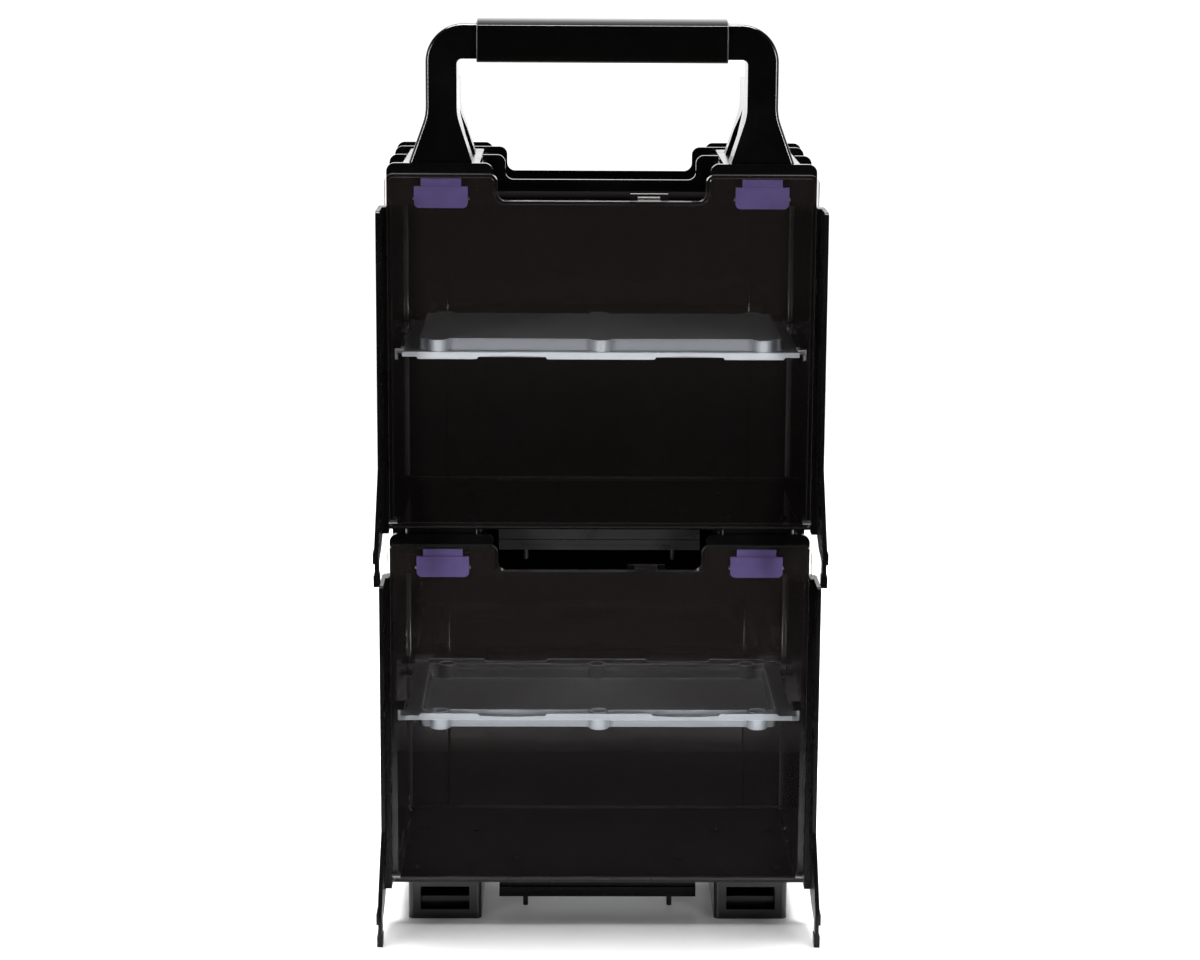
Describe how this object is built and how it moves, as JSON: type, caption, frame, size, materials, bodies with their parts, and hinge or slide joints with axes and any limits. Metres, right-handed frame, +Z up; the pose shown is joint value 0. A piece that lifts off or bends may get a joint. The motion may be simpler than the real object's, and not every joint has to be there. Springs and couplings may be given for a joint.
{
  "type": "hobby carrying case",
  "caption": "Tall hobby carrying case of stacked black modules with clear drop-down doors, loose shelves, purple latches and a top handle.",
  "frame": {"origin": "centre of the overall box, on the plane that the feet and guard legs stand on", "axes": "+Z up, the doors face -Y, +X to the right as seen from the front"},
  "size_m": [0.2198, 0.1552, 0.4526],
  "materials": {
    "shell_black": "glossy moulded",
    "guard_black": "satin moulded",
    "clear_smoke": "clear, lightly smoked",
    "shelf_frost": "translucent, milky",
    "latch_purple": "satin moulded",
    "pin_steel": "drawn wire",
    "screw_black": "black oxide",
    "handle_black": "satin moulded",
    "grip_grey": "satin moulded"
  },
  "bodies": {
    "case": {"lower_case_shell": "shell_black", "lower_door_pins": "pin_steel", "lower_latch_pins": "pin_steel", "lower_left_guard": "guard_black", "lower_right_guard": "guard_black", "lower_guard_screws": "screw_black", "lower_left_foot": "guard_black", "lower_right_foot": "guard_black", "lower_locating_rail": "guard_black", "lower_base_screws": "screw_black", "upper_case_shell": "shell_black", "upper_door_pins": "pin_steel", "upper_latch_pins": "pin_steel", "upper_left_guard": "guard_black", "upper_right_guard": "guard_black", "upper_guard_screws": "screw_black", "upper_left_foot": "guard_black", "upper_right_foot": "guard_black", "upper_locating_rail": "guard_black", "upper_base_screws": "screw_black", "handle_frame": "handle_black", "grip_front": "grip_grey", "grip_back": "grip_grey", "grip_screws": "screw_black"},
    "lower_door": {"lower_door": "clear_smoke", "lower_door_catch": "clear_smoke"},
    "lower_shelf": {"lower_shelf": "shelf_frost"},
    "lower_left_latch": {"lower_left_latch": "latch_purple"},
    "lower_right_latch": {"lower_right_latch": "latch_purple"},
    "upper_door": {"upper_door": "clear_smoke", "upper_door_catch": "clear_smoke"},
    "upper_shelf": {"upper_shelf": "shelf_frost"},
    "upper_left_latch": {"upper_left_latch": "latch_purple"},
    "upper_right_latch": {"upper_right_latch": "latch_purple"}
  },
  "joints": [
    {"name": "lower_door_hinge", "type": "hinge", "parent": "case", "child": "lower_door", "pos_m": [0, -0.0422, 0.0248], "axis": [1, 0, 0], "range_deg": [0, 90]},
    {"name": "lower_shelf_slide", "type": "slide", "parent": "case", "child": "lower_shelf", "axis": [0, -1, 0], "range_m": [0, 0.061]},
    {"name": "lower_left_latch_rock", "type": "hinge", "parent": "case", "child": "lower_left_latch", "pos_m": [-0.0777, -0.0382, 0.184], "axis": [1, 0, 0], "range_deg": [0, 20], "stiffness_Nm_per_rad": 0.05},
    {"name": "lower_right_latch_rock", "type": "hinge", "parent": "case", "child": "lower_right_latch", "pos_m": [0.0777, -0.0382, 0.184], "axis": [1, 0, 0], "range_deg": [0, 20], "stiffness_Nm_per_rad": 0.05},
    {"name": "upper_door_hinge", "type": "hinge", "parent": "case", "child": "upper_door", "pos_m": [0, -0.0422, 0.2078], "axis": [1, 0, 0], "range_deg": [0, 90]},
    {"name": "upper_shelf_slide", "type": "slide", "parent": "case", "child": "upper_shelf", "axis": [0, -1, 0], "range_m": [0, 0.061]},
    {"name": "upper_left_latch_rock", "type": "hinge", "parent": "case", "child": "upper_left_latch", "pos_m": [-0.0777, -0.0382, 0.367], "axis": [1, 0, 0], "range_deg": [0, 20], "stiffness_Nm_per_rad": 0.05},
    {"name": "upper_right_latch_rock", "type": "hinge", "parent": "case", "child": "upper_right_latch", "pos_m": [0.0777, -0.0382, 0.367], "axis": [1, 0, 0], "range_deg": [0, 20], "stiffness_Nm_per_rad": 0.05}
  ],
  "couplings": [
    {"joint": "lower_shelf_slide", "follows": "lower_door_hinge", "m_per_rad": 0.0382},
    {"joint": "upper_shelf_slide", "follows": "upper_door_hinge", "m_per_rad": 0.0382}
  ]
}
